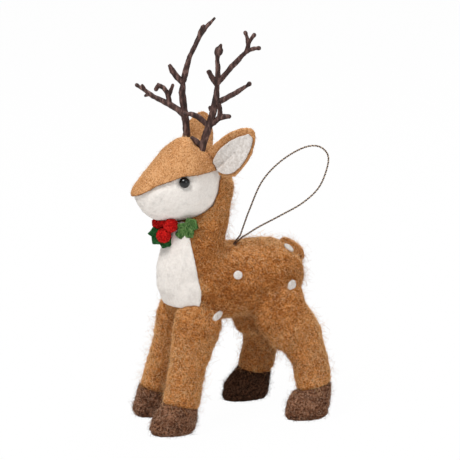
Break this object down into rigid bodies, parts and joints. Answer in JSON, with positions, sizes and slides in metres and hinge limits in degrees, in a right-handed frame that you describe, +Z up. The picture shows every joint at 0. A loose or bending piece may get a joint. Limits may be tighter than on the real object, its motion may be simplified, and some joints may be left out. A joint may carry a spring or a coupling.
{
  "type": "felt christmas ornament",
  "caption": "Standing felt fawn ornament with twig antlers, lined ears, white bib and spots, a holly sprig at the throat, felt hooves and a stiff cord loop on its back for hanging.",
  "frame": {"origin": "on the standing surface under the middle of the ornament, its hanging cord left out", "axes": "+Z up, the animal looks along -Y, its left side is +X"},
  "size_m": [0.04, 0.076, 0.1439],
  "materials": {
    "caramel_wool": "matte",
    "caramel_felt": "matte",
    "white_felt": "matte",
    "hoof_wool": "matte",
    "red_felt": "matte",
    "green_felt": "matte",
    "dark_green_felt": "matte",
    "foam": "matte",
    "twig": "satin",
    "bead": "gloss",
    "wire": "satin",
    "dowel": "matte",
    "cord": "satin"
  },
  "bodies": {
    "figure": {"torso_core": "foam", "body_felt": "caramel_wool", "front_leg_wire": "wire", "hind_leg_wire": "wire", "front_left_leg": "caramel_wool", "front_left_hoof": "hoof_wool", "front_right_leg": "caramel_wool", "front_right_hoof": "hoof_wool", "hind_left_leg": "caramel_wool", "hind_left_hoof": "hoof_wool", "hind_right_leg": "caramel_wool", "hind_right_hoof": "hoof_wool", "tail": "caramel_wool", "chest_bib": "white_felt", "neck_peg": "dowel", "head_core": "foam", "face_felt": "white_felt", "crown_felt": "caramel_felt", "left_eye": "bead", "right_eye": "bead", "left_antler": "twig", "right_antler": "twig", "left_ear": "caramel_felt", "left_ear_lining": "white_felt", "right_ear": "caramel_felt", "right_ear_lining": "white_felt", "holly_berry_1": "red_felt", "holly_berry_2": "red_felt", "holly_berry_3": "red_felt", "holly_berry_4": "red_felt", "holly_leaf_left": "green_felt", "holly_leaf_right": "dark_green_felt", "left_shoulder_spot": "white_felt", "right_shoulder_spot": "white_felt", "left_flank_spot": "white_felt", "right_flank_spot": "white_felt", "left_haunch_spot": "white_felt", "right_haunch_spot": "white_felt", "left_rump_spot": "white_felt", "right_rump_spot": "white_felt", "hanger_knot": "cord"},
    "cord_strands": {"hanger_strands": "cord"},
    "cord_loop": {"hanger_loop": "cord"}
  },
  "joints": [
    {"name": "hanger_sway", "type": "hinge", "parent": "figure", "child": "cord_strands", "pos_m": [0.0016, 0.00309, 0.06527], "axis": [0, 1, 0], "range_deg": [-70, 70], "stiffness_Nm_per_rad": 0.00012},
    {"name": "hanger_swing", "type": "hinge", "parent": "cord_strands", "child": "cord_loop", "pos_m": [0.0016, 0.00509, 0.06667], "axis": [1, 0, 0], "range_deg": [-20, 22], "stiffness_Nm_per_rad": 0.00012, "springref_deg": 2.86}
  ]
}
